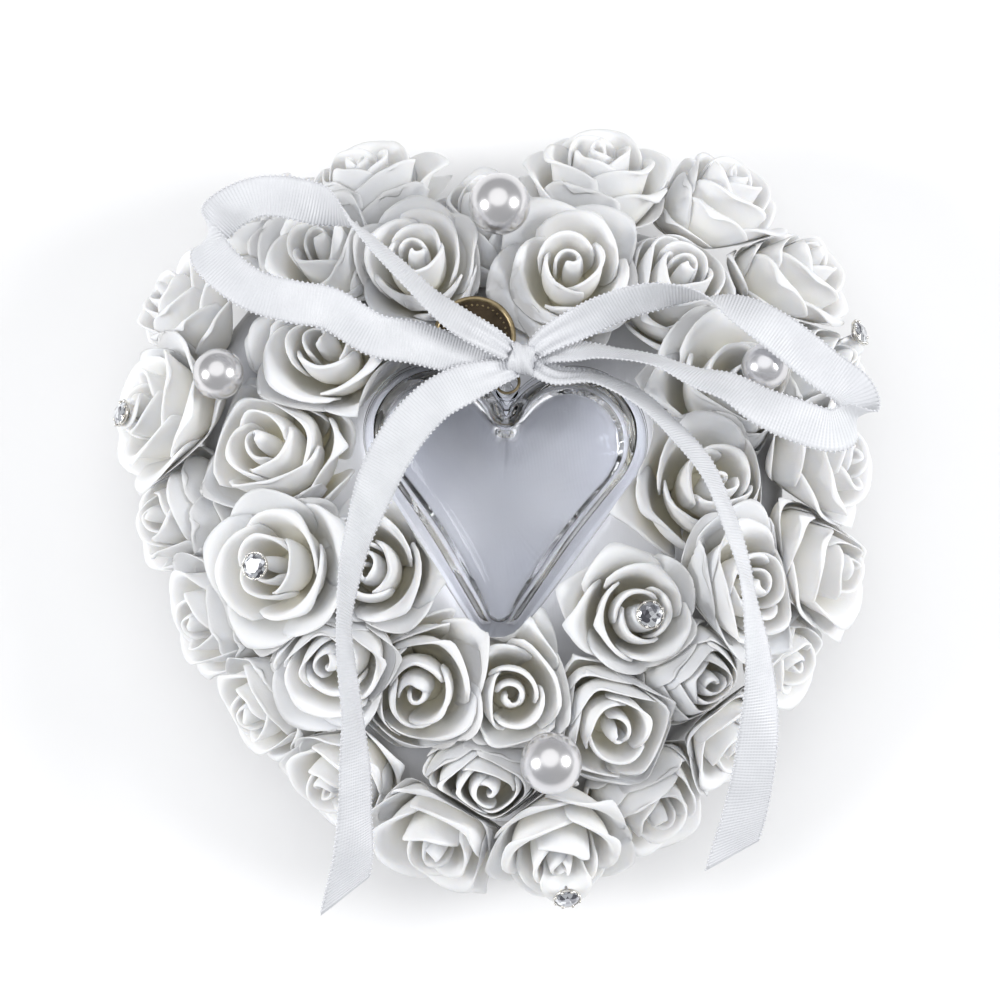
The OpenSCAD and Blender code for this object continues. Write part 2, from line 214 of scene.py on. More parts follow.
def torus(center, normal, major, minor, n=40, m=12):
    """Ring of round wire: n steps round the ring, m round the wire."""
    normal = Vector(normal).normalized()
    q = Vector((0, 0, 1)).rotation_difference(normal)
    verts = []
    for i in range(n):
        a = 2 * math.pi * i / n
        for j in range(m):
            b = 2 * math.pi * j / m
            out = major + minor * math.cos(b)
            v = Vector((out * math.cos(a), out * math.sin(a), minor * math.sin(b)))
            verts.append(tuple(q @ v + Vector(center)))
    faces = [(i * m + j, ((i + 1) % n) * m + j, ((i + 1) % n) * m + (j + 1) % m, i * m + (j + 1) % m)
             for i in range(n) for j in range(m)]
    return np.array(verts), faces


def join(parts):
    """Points, faces and each face's material index, from (verts, faces, index) parts."""
    verts, faces, mats = [], [], []
    for v, f, k in parts:
        base = sum(len(x) for x in verts)
        verts.append(np.asarray(v, float))
        faces += [tuple(i + base for i in q) for q in f]
        mats += [k] * len(f)
    return np.concatenate(verts), faces, mats


def axes(az, tilt):
    """Columns are a leaning piece's own X, Y and Z."""
    a, t = math.radians(az), math.radians(tilt)
    return np.array([
        [math.cos(t) * math.cos(a), -math.sin(a), math.sin(t) * math.cos(a)],
        [math.cos(t) * math.sin(a), math.cos(a), math.sin(t) * math.sin(a)],
        [-math.sin(t), 0, math.cos(t)]])


# Materials --------------------------------------------------------------------
class Nodes:
    """Small helper for writing a node material in order."""

    def __init__(self, name):
        self.mat = bpy.data.materials.new(name)
        self.mat.use_nodes = True
        self.tree = self.mat.node_tree
        self.tree.nodes.clear()
        self.out = self.add("ShaderNodeOutputMaterial")
        self.bsdf = self.add("ShaderNodeBsdfPrincipled")
        self.link(self.bsdf, "BSDF", self.out, "Surface")
        self.coord = self.add("ShaderNodeTexCoord")

    def add(self, kind, **values):
        node = self.tree.nodes.new(kind)
        for key, value in values.items():
            if hasattr(node, key):
                setattr(node, key, value)
            else:
                node.inputs[key.replace("_", " ")].default_value = value
        return node

    def link(self, a, out, b, into):
        self.tree.links.new(a.outputs[out], b.inputs[into])

    def noise(self, scale, detail=4.0, rough=0.5):
        n = self.add("ShaderNodeTexNoise", Scale=scale, Detail=detail, Roughness=rough)
        self.link(self.coord, "Object", n, "Vector")
        return n

    def ramp(self, source, out, stops):
        r = self.add("ShaderNodeValToRGB")
        while len(r.color_ramp.elements) < len(stops):
            r.color_ramp.elements.new(0.5)
        for e, (at, colour) in zip(r.color_ramp.elements, stops):
            e.position = at
            e.color = (*colour, 1)
        self.link(source, out, r, "Fac")
        return r

    def bump(self, source, out, strength, distance, under=None):
        b = self.add("ShaderNodeBump")
        b.inputs["Strength"].default_value = strength
        b.inputs["Distance"].default_value = distance
        self.link(source, out, b, "Height")
        if under is not None:
            self.link(under, "Normal", b, "Normal")
        self.link(b, "Normal", self.bsdf, "Normal")
        return b

    def rough_between(self, source, out, low, high):
        m = self.add("ShaderNodeMapRange")
        m.inputs["To Min"].default_value = low
        m.inputs["To Max"].default_value = high
        self.link(source, out, m, "Value")
        self.link(m, "Result", self.bsdf, "Roughness")

    def set(self, **values):
        for key, value in values.items():
            self.bsdf.inputs[key.replace("_", " ")].default_value = value
        return self


def foam_material(name, light, deep, seed):
    """Soft matte foam sheet: faint mottling, fine pores, and painted cream shade towards the foot of each
    petal, deep in the rose.
    """
    m = Nodes(name).set(Specular_IOR_Level=0.2, Subsurface_Weight=0.4, Subsurface_Scale=0.003,
                        Subsurface_Radius=(1.0, 0.85, 0.65), Sheen_Weight=0.1, Sheen_Roughness=0.5)
    soft = m.noise(90 + seed, 3)
    petals = m.ramp(soft, "Fac", [(0.3, tuple(0.965 * c for c in light)), (0.7, light)])
    # Painted shade: the deep colour is mixed in where the tone attribute is low, at each petal's foot deep in
    # the rose.
    tone = m.add("ShaderNodeAttribute", attribute_name="tone")
    share = m.ramp(tone, "Fac", [(0.1, (1, 1, 1)), (0.38, (0.45, 0.45, 0.45)), (0.7, (0, 0, 0))])
    painted_shade_mix = m.add("ShaderNodeMix", data_type="RGBA")
    m.link(share, "Color", painted_shade_mix, "Factor")
    m.tree.links.new(petals.outputs["Color"], painted_shade_mix.inputs[6])
    painted_shade_mix.inputs[7].default_value = (*deep, 1)
    m.tree.links.new(painted_shade_mix.outputs[2], m.bsdf.inputs["Base Color"])
    m.rough_between(soft, "Fac", 0.55, 0.72)
    big = m.bump(m.noise(260, 3), "Fac", 0.2, 0.0006)
    m.bump(m.noise(2600, 2), "Fac", 0.2, 0.00012, big)
    return m.mat


def satin_material(name, light, deep, weave, sheen, rough):
    """Satin: fine float lines, a long soft gloss and slight shading along the folds."""
    m = Nodes(name).set(Sheen_Weight=sheen, Sheen_Roughness=0.35, Specular_IOR_Level=0.5, Anisotropic=0.35)
    soft = m.noise(55, 3)
    col = m.ramp(soft, "Fac", [(0.3, deep), (0.7, light)])
    m.link(col, "Color", m.bsdf, "Base Color")
    m.rough_between(soft, "Fac", *rough)
    w = m.add("ShaderNodeTexWave", bands_direction="X")
    w.inputs["Scale"].default_value = weave
    w.inputs["Distortion"].default_value = 0.6
    w.inputs["Detail"].default_value = 2.0
    m.link(m.coord, "Object", w, "Vector")
    m.bump(w, "Color", 0.12, 0.0001, m.bump(m.noise(140, 3), "Fac", 0.12, 0.0008))
    return m.mat


def ribbon_material():
    """Ribbon: ribs across the width, from the strip's own UV (along, across), with soft satin gloss."""
    m = Nodes("ribbon_satin").set(Sheen_Weight=0.3, Sheen_Roughness=0.4, Specular_IOR_Level=0.45)
    soft = m.noise(120, 3)
    col = m.ramp(soft, "Fac", [(0.3, (0.68, 0.69, 0.72)), (0.7, (0.76, 0.77, 0.80))])
    m.link(col, "Color", m.bsdf, "Base Color")
    m.rough_between(soft, "Fac", 0.3, 0.4)
    ribs = m.add("ShaderNodeTexWave", bands_direction="X")
    ribs.inputs["Scale"].default_value = 4.5
    ribs.inputs["Distortion"].default_value = 0.35
    ribs.inputs["Detail"].default_value = 1.0
    m.link(m.coord, "UV", ribs, "Vector")
    lines = m.add("ShaderNodeTexWave", bands_direction="Y")
    lines.inputs["Scale"].default_value = 4.5
    lines.inputs["Distortion"].default_value = 0.2
    m.link(m.coord, "UV", lines, "Vector")
    first = m.bump(ribs, "Color", 0.5, 0.00018)
    m.bump(lines, "Color", 0.2, 0.0001, first)
    return m.mat


def pearl_material():
    """Grey-white pearl coating, slightly metallic, under a clear coat."""
    m = Nodes("pearl").set(Coat_Weight=0.5, Coat_Roughness=0.15, Specular_IOR_Level=0.6, Metallic=0.85)
    n = m.noise(60, 3)
    col = m.ramp(n, "Fac", [(0.25, (0.66, 0.65, 0.66)), (0.5, (0.74, 0.73, 0.74)),
                            (0.75, (0.70, 0.70, 0.73))])
    m.link(col, "Color", m.bsdf, "Base Color")
    m.rough_between(n, "Fac", 0.2, 0.3)
    m.bump(m.noise(900, 2), "Fac", 0.04, 0.0001)
    return m.mat


def clear_material():
    """Clear moulded plastic with a faint flow pattern."""
    m = Nodes("clear_plastic").set(IOR=1.22, Transmission_Weight=1.0, Specular_IOR_Level=0.5)
    n = m.noise(40, 2)
    col = m.ramp(n, "Fac", [(0.3, (0.94, 0.95, 0.98)), (0.7, (0.98, 0.985, 0.995))])
    m.link(col, "Color", m.bsdf, "Base Color")
    m.rough_between(n, "Fac", 0.015, 0.05)
    m.bump(m.noise(28, 2), "Fac", 0.06, 0.001)
    return m.mat


def metal_material(name, light, deep, rough=(0.22, 0.4)):
    """Metal with blotchy tone and fine scratches."""
    m = Nodes(name).set(Metallic=1.0)
    n = m.noise(220, 5, 0.6)
    col = m.ramp(n, "Fac", [(0.32, deep), (0.68, light)])
    m.link(col, "Color", m.bsdf, "Base Color")
    m.rough_between(n, "Fac", *rough)
    m.bump(m.noise(1100, 3), "Fac", 0.12, 0.0001)
    return m.mat


def crystal_painted_reflections_material():
    """Foil-backed stone: bright facets with some dark ones, told apart by place; the dark and grey facets are
    painted reflections.
    """
    m = Nodes("crystal").set(Metallic=0.85, Coat_Weight=1.0, Coat_Roughness=0.02, Specular_IOR_Level=0.8)
    v = m.add("ShaderNodeTexVoronoi", Scale=1100.0)
    m.link(m.coord, "Object", v, "Vector")
    # Painted reflections: dark and grey facet colours stand in for dark surroundings mirrored in the stone.
    col = m.ramp(v, "Color", [(0.15, (0.10, 0.10, 0.12)), (0.4, (0.45, 0.46, 0.5)),
                              (0.7, (0.9, 0.92, 0.95))])
    m.link(col, "Color", m.bsdf, "Base Color")
    m.rough_between(v, "Color", 0.03, 0.14)
    return m.mat


def board_material():
    """White card with a fine grain."""
    m = Nodes("white_board").set(Specular_IOR_Level=0.3)
    n = m.noise(400, 6, 0.7)
    col = m.ramp(n, "Fac", [(0.3, (0.80, 0.79, 0.76)), (0.7, (0.88, 0.87, 0.85))])
    m.link(col, "Color", m.bsdf, "Base Color")
    m.rough_between(n, "Fac", 0.7, 0.85)
    m.bump(n, "Fac", 0.2, 0.0002)
    return m.mat


def bead_foam_material():
    """Expanded foam: small pressed beads."""
    m = Nodes("bead_foam").set(Subsurface_Weight=0.2, Subsurface_Scale=0.002)
    v = m.add("ShaderNodeTexVoronoi", Scale=320.0)
    m.link(m.coord, "Object", v, "Vector")
    col = m.ramp(v, "Distance", [(0.0, (0.92, 0.92, 0.92)), (0.8, (0.8, 0.8, 0.82))])
    m.link(col, "Color", m.bsdf, "Base Color")
    m.rough_between(v, "Distance", 0.6, 0.8)
    m.bump(v, "Distance", 0.4, 0.0003)
    return m.mat


# Ribbon -----------------------------------------------------------------------
def spline(points, step):
    """Catmull-Rom through rows of numbers, resampled at about step along the first three."""
    p = np.asarray(points, float)
    p = np.vstack([2 * p[0] - p[1], p, 2 * p[-1] - p[-2]])
    dense = []
    for i in range(1, len(p) - 2):
        a, b, c, d = p[i - 1], p[i], p[i + 1], p[i + 2]
        for t in np.linspace(0, 1, 24, endpoint=False):
            dense.append(0.5 * (2 * b + (c - a) * t + (2 * a - 5 * b + 4 * c - d) * t * t
                                + (3 * b - a - 3 * c + d) * t ** 3))
    dense.append(p[-2])
    dense = np.array(dense)
    s = np.concatenate([[0], np.cumsum(np.linalg.norm(np.diff(dense[:, :3], axis=0), axis=1))])
    n = max(2, int(round(s[-1] / step)) + 1)
    at = np.linspace(0, s[-1], n)
    return np.stack([np.interp(at, s, dense[:, k]) for k in range(dense.shape[1])], axis=1), s[-1]


def ribbon_line(table):
    """Smooth centre line, unit width and forward directions, width share, and length, at 0.8 mm steps."""
    rows = []
    for x, y, z, az, lift, share in table:
        a, e = math.radians(az), math.radians(lift)
        rows.append((x, y, z, math.cos(e) * math.cos(a), math.cos(e) * math.sin(a), math.sin(e), share))
    for i in range(1, len(rows)):
        if np.dot(rows[i][3:6], rows[i - 1][3:6]) < 0:
            r = rows[i]
            rows[i] = (*r[:3], -r[3], -r[4], -r[5], r[6])
    line, length = spline(rows, 0.8)
    c, w, share = line[:, :3], line[:, 3:6], line[:, 6]
    t = np.gradient(c, axis=0)
    t /= np.linalg.norm(t, axis=1, keepdims=True)
    w = w - t * (w * t).sum(1, keepdims=True)
    w /= np.linalg.norm(w, axis=1, keepdims=True)
    return c, w, t, share, length


RIBBONS = {"bow_left_loop": LEFT_LOOP, "bow_right_loop": RIGHT_LOOP,
           "bow_left_tail": LEFT_TAIL, "bow_right_tail": RIGHT_TAIL}
LINES = {name: ribbon_line(table) for name, table in RIBBONS.items()}


def make_ribbon(name, material, cut):
    """Thin closed strip along its line: pinched into folds at the knot, beaded along both edges."""
    c, w, t, share, length = LINES[name]
    n = np.cross(t, w)
    nu = 13
    count = len(c)
    grid = np.zeros((count, nu, 3))
    for i in range(count):
        pinch = 1 - share[i]
        for j in range(nu):
            u = -1 + 2 * j / (nu - 1)
            s = i / (count - 1)
            slant = cut * u * RIBBON_W / 2 * max(0, (s - 0.86) / 0.14) if cut else 0
            lift = 1.9 * pinch * math.sin(u * 2.2 * math.pi) * 0.6 + 0.25 * (u * u - 0.4)
            lift += 0.18 * math.sin(i * 0.23 + 2.2 * u) * (1 - pinch)
            grid[i, j] = c[i] + w[i] * u * (RIBBON_W / 2 - 0.3) * share[i] + n[i] * lift + t[i] * slant
    verts, faces = shell(grid, 0.28, edge=0.8)
    parts = [(verts, faces, 0)]
    for side in (0, nu - 1):
        edge = grid[:, side]
        s = np.concatenate([[0], np.cumsum(np.linalg.norm(np.diff(edge, axis=0), axis=1))])
        at = np.arange(0.4, s[-1] - 0.2, 1.15)
        centres = np.stack([np.interp(at, s, edge[:, k]) for k in range(3)], axis=1)
        bead_v, bead_f = revolve([(0, -0.32), (0.25, -0.2), (0.32, 0), (0.25, 0.2), (0, 0.32)], 6)
        for q in centres:
            parts.append((bead_v + q, bead_f, 0))
    verts, faces, _ = join(parts)
    ob = new_object(name + "_ribbon", verts, faces, material, "lid", (name,))
    layer = ob.data.uv_layers.new(name="UVMap")
    m = count * nu
    for poly in ob.data.polygons:
        for k, vi in zip(poly.loop_indices, poly.vertices):
            q = vi % m if vi < 2 * m else 0
            layer.data[k].uv = ((q // nu) * 0.8 * 0.1, (q % nu) * 0.08)
    return ob


# What roses must stay under or beside ------------------------------------------
CELL = 0.5
HALF = 110.0
SIZE = int(2 * HALF / CELL)


def heart_points(lx, ly, lr, ty, tr, n):
    """Heart outline: two lobe arcs meeting at the cleft and a lower arc, anticlockwise."""
    reach = math.hypot(lx, ly - ty)
    side = math.atan2(ly - ty, lx) - math.acos((tr - lr) / reach)
    cleft = math.pi - math.acos(lx / lr)

    def arc(cx, cy, r, a, b, skip=0):
        return [(cx + r * math.cos(a + (b - a) * i / n), cy + r * math.sin(a + (b - a) * i / n))
                for i in range(skip, n + 1)]
    pts = arc(lx, ly, lr, side, cleft) + arc(-lx, ly, lr, math.pi - cleft, math.pi - side, 1)
    return np.array(pts + arc(0, ty, tr, math.pi - side, 2 * math.pi + side))


def turned(p, deg):
    a = math.radians(deg)
    return p @ np.array([[math.cos(a), math.sin(a)], [-math.sin(a), math.cos(a)]])


def even(p, n):
    """A closed outline resampled at n even steps."""
    q = np.vstack([p, p[:1]])
    s = np.concatenate([[0], np.cumsum(np.linalg.norm(np.diff(q, axis=0), axis=1))])
    at = np.linspace(0, s[-1], n, endpoint=False)
    return np.stack([np.interp(at, s, q[:, 0]), np.interp(at, s, q[:, 1])], axis=1)


BOX_OUTLINE = even(turned(heart_points(*BOX_HEART, 60), BOX_TURN), 200)


def radius_at(outline, centre, angles):
    """Distance from centre to a star-shaped outline in each direction."""
    d = outline - centre
    a = np.unwrap(np.arctan2(d[:, 1], d[:, 0]))
    r = np.linalg.norm(d, axis=1)
    a = np.concatenate([a - 2 * np.pi, a, a + 2 * np.pi])
    return np.interp(np.asarray(angles), a, np.concatenate([r, r, r]))


def ceiling_map():
    """Highest a petal may reach at each place: under the ribbons, the knot and the charm's sweep."""
    z = np.full((SIZE, SIZE), 300.0)

    def lower(x, y, h):
        i, j = int((x + HALF) / CELL), int((y + HALF) / CELL)
        z[i - 1:i + 2, j - 1:j + 2] = np.minimum(z[i - 1:i + 2, j - 1:j + 2], h)
    for c, w, t, share, _ in LINES.values():
        for k in range(len(c)):
            for u in np.linspace(-1, 1, 13):
                q = c[k] + w[k] * u * (RIBBON_W / 2 + 0.3) * share[k]
                lower(q[0], q[1], q[2] - 1.1)
    for deg in range(-22, 7, 2):
        a = math.radians(CHARM_AZ + deg)
        cx, cy = EAR[0] + CHARM_REACH * math.cos(a), EAR[1] + CHARM_REACH * math.sin(a)
        for r in np.arange(0, CHARM_R + 0.5, 0.5):
            for b in np.linspace(0, 2 * math.pi, 60):
                lower(cx + r * math.cos(b), cy + r * math.sin(b), CHARM_Z - CHARM_T / 2 - 1.0)
    for r in np.arange(0, 4.6, 0.5):
        for b in np.linspace(0, 2 * math.pi, 30):
            lower(KNOT[0] + r * math.cos(b), KNOT[1] + r * math.sin(b), KNOT[2] - 4.6)
    for _ in range(10):
        for axis in (0, 1):
            for step in (-1, 1):
                z = np.minimum(z, np.roll(z, step, axis) + CELL * 1.1)
    return z


CEILING = ceiling_map()


def make_room(v):
    """Petal points moved out of the way of the lid's path, the ribbons, the charm and the pearls."""
    d = v[:, :2] - HUB
    r = np.linalg.norm(d, axis=1)
    limit = radius_at(BOX_OUTLINE, HUB, np.arctan2(d[:, 1], d[:, 0])) + 0.7
    near = (v[:, 2] > 36.5) & (r < limit)
    v[near, :2] = HUB + d[near] * (limit[near] / np.maximum(r[near], 1e-6))[:, None]
    ear = v[:, :2] - np.array(EAR)
    re = np.linalg.norm(ear, axis=1)
    near = (re < 3.9) & (v[:, 2] > 36)
    v[near, :2] = np.array(EAR) + ear[near] * (3.9 / np.maximum(re[near], 1e-6))[:, None]
    i = np.clip(((v[:, 0] + HALF) / CELL).astype(int), 0, SIZE - 1)
    j = np.clip(((v[:, 1] + HALF) / CELL).astype(int), 0, SIZE - 1)
    top = CEILING[i, j]
    over = v[:, 2] > top - 1.5
    v[over, 2] = top[over] - 1.5 * np.exp(-(v[over, 2] - top[over] + 1.5) / 1.5)
    for x, y, z, pr in PEARLS.values():
        d3 = v - np.array([x, y, z])
        r3 = np.linalg.norm(d3, axis=1)
        near = r3 < pr + 0.5
        v[near] = np.array([x, y, z]) + d3[near] * ((pr + 0.5) / np.maximum(r3[near], 1e-6))[:, None]
    return v


# Roses ------------------------------------------------------------------------
def petal(rng, a0, half, prof, spiral, roll, point, nu=15, nv=12):
    """One petal as a grid: prof is four (radius, height) control points from foot to lip."""
    (r0, z0), (r1, z1), (r2, z2), (r3, z3) = prof
    ph1, ph2, ph3 = rng.uniform(0, 6.28), rng.uniform(0, 6.28), rng.uniform(0, 6.28)
    wob = rng.uniform(0.2, 0.55)
    lean = rng.uniform(-0.18, 0.18)
    u = np.linspace(-1, 1, nu)[None, :]
    v = np.linspace(0, 1, nv)[:, None] ** 0.9
    side = np.abs(u - lean * point)
    reach = 1 + 0.05 * point - (0.20 + 0.16 * point) * side ** (2.4 - 0.7 * point)
    t = v * reach
    b0, b1, b2, b3 = (1 - t) ** 3, 3 * t * (1 - t) ** 2, 3 * t * t * (1 - t), t ** 3
    r = b0 * r0 + b1 * r1 + b2 * r2 + b3 * r3
    z = b0 * z0 + b1 * z1 + b2 * z2 + b3 * z3
    width = 0.60 + 0.40 * np.sin(np.pi * np.clip(0.06 + t * 0.8, 0, 1))
    width = width * (1 - 0.18 * point * t ** 3)
    curl = np.abs(u) ** 2.4 * t ** 2
    cup = (1 - u * u) * np.sin(np.pi * np.clip(t, 0, 1))
    r = r + spiral * u * (0.4 + 0.6 * t) + roll * curl + 0.5 * cup + wob * np.sin(2.3 * u + ph1) * t ** 3
    z = z - roll * 0.6 * curl * np.abs(u) + wob * np.sin(1.9 * u + ph2) * t ** 3
    tip = point * np.exp(-((u - lean) / 0.3) ** 2) * np.clip(t - 0.72, 0, 1) ** 2
    r = r + 5.5 * tip
    z = z - 4.0 * tip
    th = a0 + half * u * width + 0.05 * np.sin(3 * t + ph3)
    r = np.maximum(r, 0.15)
    return np.stack([r * np.cos(th), r * np.sin(th), z + 0 * u], axis=2)


def rose_shape(seed, k, opened, seats):
    """All petals of one rose on its own axis, foot at the origin: points, faces and tone per point, which
    places painted shade.

    k is the width of the head, opened how far the petals lean out, and a petal stands under each seat.
    """
    rng = random.Random(seed)
    h = ROSE_H * (0.98 + 0.04 * rng.random())
    parts, tone = [], []
    turn = rng.uniform(0, 6.28)
    o = opened

    def add(a0, half, prof, spiral, roll, point, thick=0.9):
        g = petal(rng, a0, half, prof, spiral, roll, point)
        v, f = shell(g, thick, edge=0.5)
        parts.append((v, f, 0))
        # tone runs from 0 at a petal's foot to 1 at its lip; low tone gets painted shade.
        rows = np.repeat(np.linspace(0, 1, g.shape[0]), g.shape[1])
        tone.append(np.concatenate([rows, rows, np.full(len(v) - 2 * len(rows), 0.9)]))
    for i in range(2):
        g = 1.25 * i
        prof = [(0.8 + g, 7), (2.2 + g, 11), (1.5 + g, h - 3), (0.9 + g * 1.2, h + 0.4 - 0.7 * i)]
        add(turn + i * 2.9, 2.25 - 0.35 * i, prof, 0.8, 0.3, 0.1, 0.8)
    for i in range(3):
        j = rng.uniform(-0.16, 0.16)
        lip = rng.uniform(-0.4, 0.5)
        prof = [(3.0, 5), (7.2 * k, 7.5), (4.9 * k * o, h - 2.0), ((6.2 * o + lip) * k, h - 0.5 + j)]
        add(turn + 0.9 + i * 2.094 + j, 1.35, prof, 0.95, 0.8, 0.35 + 0.3 * rng.random())
    for i in range(3):
        j = rng.uniform(-0.2, 0.2)
        lip = rng.uniform(-0.5, 1.2)
        prof = [(3.5, 2.4), (10.8 * k, 4.0), (8.2 * k * o, h - 2.0),
                ((12.0 * o + lip) * k, h - 2.4 + 1.8 * j)]
        add(turn + 0.2 + i * 2.094 + j, 1.28, prof, 1.0, 1.8, 0.55 + 0.5 * rng.random())
    for i in range(5):
        j = rng.uniform(-0.16, 0.16)
        lip = rng.uniform(-0.8, 1.3)
        prof = [(4.0, 0.6), (13.0 * k, 1.2), (11.4 * k * o, h - 4.8),
                ((16.8 * o + lip) * k, h - 6.4 + 3 * j)]
        add(turn + 0.7 + i * 1.2566 + j, 0.86, prof, 0.95, 1.9, 0.7 + 0.5 * rng.random())
    for i in range(4):
        j = rng.uniform(-0.2, 0.2)
        lip = rng.uniform(-1.0, 0.8)
        prof = [(4.2, 0.0), (12.0 * k, -0.5), (14.0 * k * o, h - 11.5),
                ((18.6 * o + lip) * k, h - 12.5 + 3 * j)]
        add(turn + 0.1 + i * 1.571 + j, 0.78, prof, 0.8, 1.2, 0.8 + 0.4 * rng.random())
    for x, y in seats:
        reach = math.hypot(x, y)
        prof = [(2.5, 5), (reach - 0.5, 10), (reach - 4, ROSE_H + 2.5), (reach + 3.5, ROSE_H + 1.3)]
        add(math.atan2(y, x), 1.2, prof, 0.1, 0.3, 0.0)
    v, f = revolve([(0, -3), (1.8, -2.6), (2.2, -1), (4.2, 0.2), (5.2, 2.6), (4.4, 6), (2.4, 8.5),
                    (0, 9.5)], 20)
    parts.append((v, f, 0))
    # The hub at the foot has tone 0, so it is fully painted shade.
    tone.append(np.zeros(len(v)))
    verts, faces, _ = join(parts)
    return verts, faces, np.concatenate(tone)


def head_centre(q):
    """Middle of a rose's head, 11 mm up its axis."""
    return np.array(q[:3], float) + axes(q[3], q[4])[:, 2] * 11.0


def squeeze(v, i):
    """Neighbouring roses press on each other: petals meet on a slanting plane, one over the other."""
    here = head_centre(ROSES[i])
    up = axes(ROSES[i][3], ROSES[i][4])[:, 2]
    for j, q in enumerate(ROSES):
        if j == i:
            continue
        there = head_centre(q)
        gap = np.linalg.norm(there - here)
        if gap > 36:
            continue
        n = (there - here) / gap
        share = ROSES[i][5] / (ROSES[i][5] + q[5])
        rise = up + axes(q[3], q[4])[:, 2]
        rise -= n * (rise @ n)
        rise /= np.linalg.norm(rise)
        over = 1 if (i * 7 + 3) % 37 > (j * 7 + 3) % 37 else -1
        middle = here + n * gap * share
        lean = 0.75 * over
        d = ((v - middle) @ n - lean * ((v - middle) @ rise)) / math.hypot(1, lean)
        m = 3.0
        near = d > -m
        lost = d[near] - (m * (1 - np.exp(-(d[near] + m) / m)) * 0.95 - m)
        v[near] -= ((n - lean * rise) / math.hypot(1, lean))[None, :] * lost[:, None]
        v[near] += up[None, :] * (np.minimum(lost, 5) * 0.35)[:, None]
    return v


# Height and width of single roses against the rule, by rose number
STRETCH = {1: 1.1, 2: 1.12, 3: 1.1, 6: 1.06, 8: 0.9, 9: 0.78, 10: 0.92, 12: 0.86, 13: 0.72,
           14: 0.8, 15: 1.1, 16: 1.15, 18: 1.12, 19: 1.1, 20: 1.12}
WIDEN = {9: 0.94, 10: 1.06, 13: 0.92, 14: 0.94, 23: 1.14, 24: 1.14, 30: 1.16, 31: 1.12,
         33: 1.12, 34: 1.12, 37: 1.1, 38: 1.16}


def make_roses(materials):
    """One mesh of petals per rose, on its own axis, pressed by its neighbours and out of others' way."""
    for i, q in enumerate(ROSES):
        rng = random.Random(700 + i)
        opened = rng.uniform(0.88, 1.12)
        seats = [(x, y) for rose, x, y in STONES if rose == i + 1 and (x or y)]
        verts, faces, tone = rose_shape(40 + i, max(0.98, 1.08 * q[5] / 11.5), opened, seats)
        ax = axes(q[3], q[4])
        wide = WIDEN.get(i + 1, 1.0)
        v = verts * np.array([wide, wide, STRETCH.get(i + 1, 1.0)]) @ ax.T + np.array(q[:3], float)
        v = squeeze(v, i)
        v = make_room(v)
        v[:, 2] = np.maximum(v[:, 2], 1.5)
        name = f"rose_{i + 1:02d}"
        foam = materials[i % len(materials)]
        ob = new_object(name + "_petals", v, faces, foam, "pillow", (name,))
        # tone places the painted shade towards each petal's foot.
        ob.data.attributes.new("tone", "FLOAT", "POINT").data.foreach_set("value", tone)


# Clear ring box ---------------------------------------------------------------
def soft_depth(p, outline):
    """Smooth distance from points to an outline, without a ridge down the middle."""
    d = np.linalg.norm(p[:, None, :] - outline[None, :, :], axis=2)
    return (np.mean(np.maximum(d, 1e-3) ** -5.0, axis=1)) ** -0.2


def dome(inset, height, rings=22):
    """Puffed heart surface from its rim to its crown, as a (rings, n, 3) grid."""
    d = BOX_OUTLINE - HUB
    r = np.linalg.norm(d, axis=1, keepdims=True)
    rim = HUB + d * (r - inset) / r
    grid = []
    for s in np.linspace(0, 0.98, rings):
        ring = HUB + (rim - HUB) * (1 - s)
        grid.append(np.column_stack([ring, soft_depth(ring, rim)]))
    grid = np.array(grid)
    t = grid[:, :, 2] / grid[-1, :, 2].mean()
    t[0] = 0
    t = np.clip(t * 1.25, 0, 1)
    grid[:, :, 2] = height * (1 - (1 - t) ** 2) ** 0.8
    return grid


def box_shell(z0, z1, height, up):
    """Closed clear half: flat rim between z0 and z1, and a thin dome on the up side."""
    n = len(BOX_OUTLINE)
    d = BOX_OUTLINE - HUB
    r = np.linalg.norm(d, axis=1, keepdims=True)

    def ring(inset, z):
        return np.column_stack([HUB + d * (r - inset) / r, np.full(n, z)])[None]
    outer_z, flat_z = (z1, z0) if up else (z0, z1)
    sgn = 1 if up else -1
    outer = dome(FLANGE, height)
    outer[:, :, 2] = outer_z + sgn * outer[:, :, 2]
    inner = dome(FLANGE + BOX_WALL, height - BOX_WALL + abs(z1 - z0))
    inner[:, :, 2] = flat_z + sgn * inner[:, :, 2]
    mid = 0.5 * (outer_z + flat_z)
    rows = np.concatenate([inner[::-1], ring(FLANGE + BOX_WALL - 0.3, flat_z), ring(0.3, flat_z),
                           ring(0.0, flat_z + sgn * 0.25), ring(0.0, mid), ring(0.0, outer_z - sgn * 0.25),
                           ring(0.3, outer_z), ring(FLANGE - 0.4, outer_z), outer])
    verts = rows.reshape(-1, 3)
    faces = grid_faces(n, len(rows), wrap=True)
    last = (len(rows) - 1) * n
    faces.append(tuple(range(n - 1, -1, -1)))
    faces.append(tuple(last + k for k in range(n)))
    if not up:
        return verts, faces
    return verts, [tuple(reversed(f)) for f in faces]


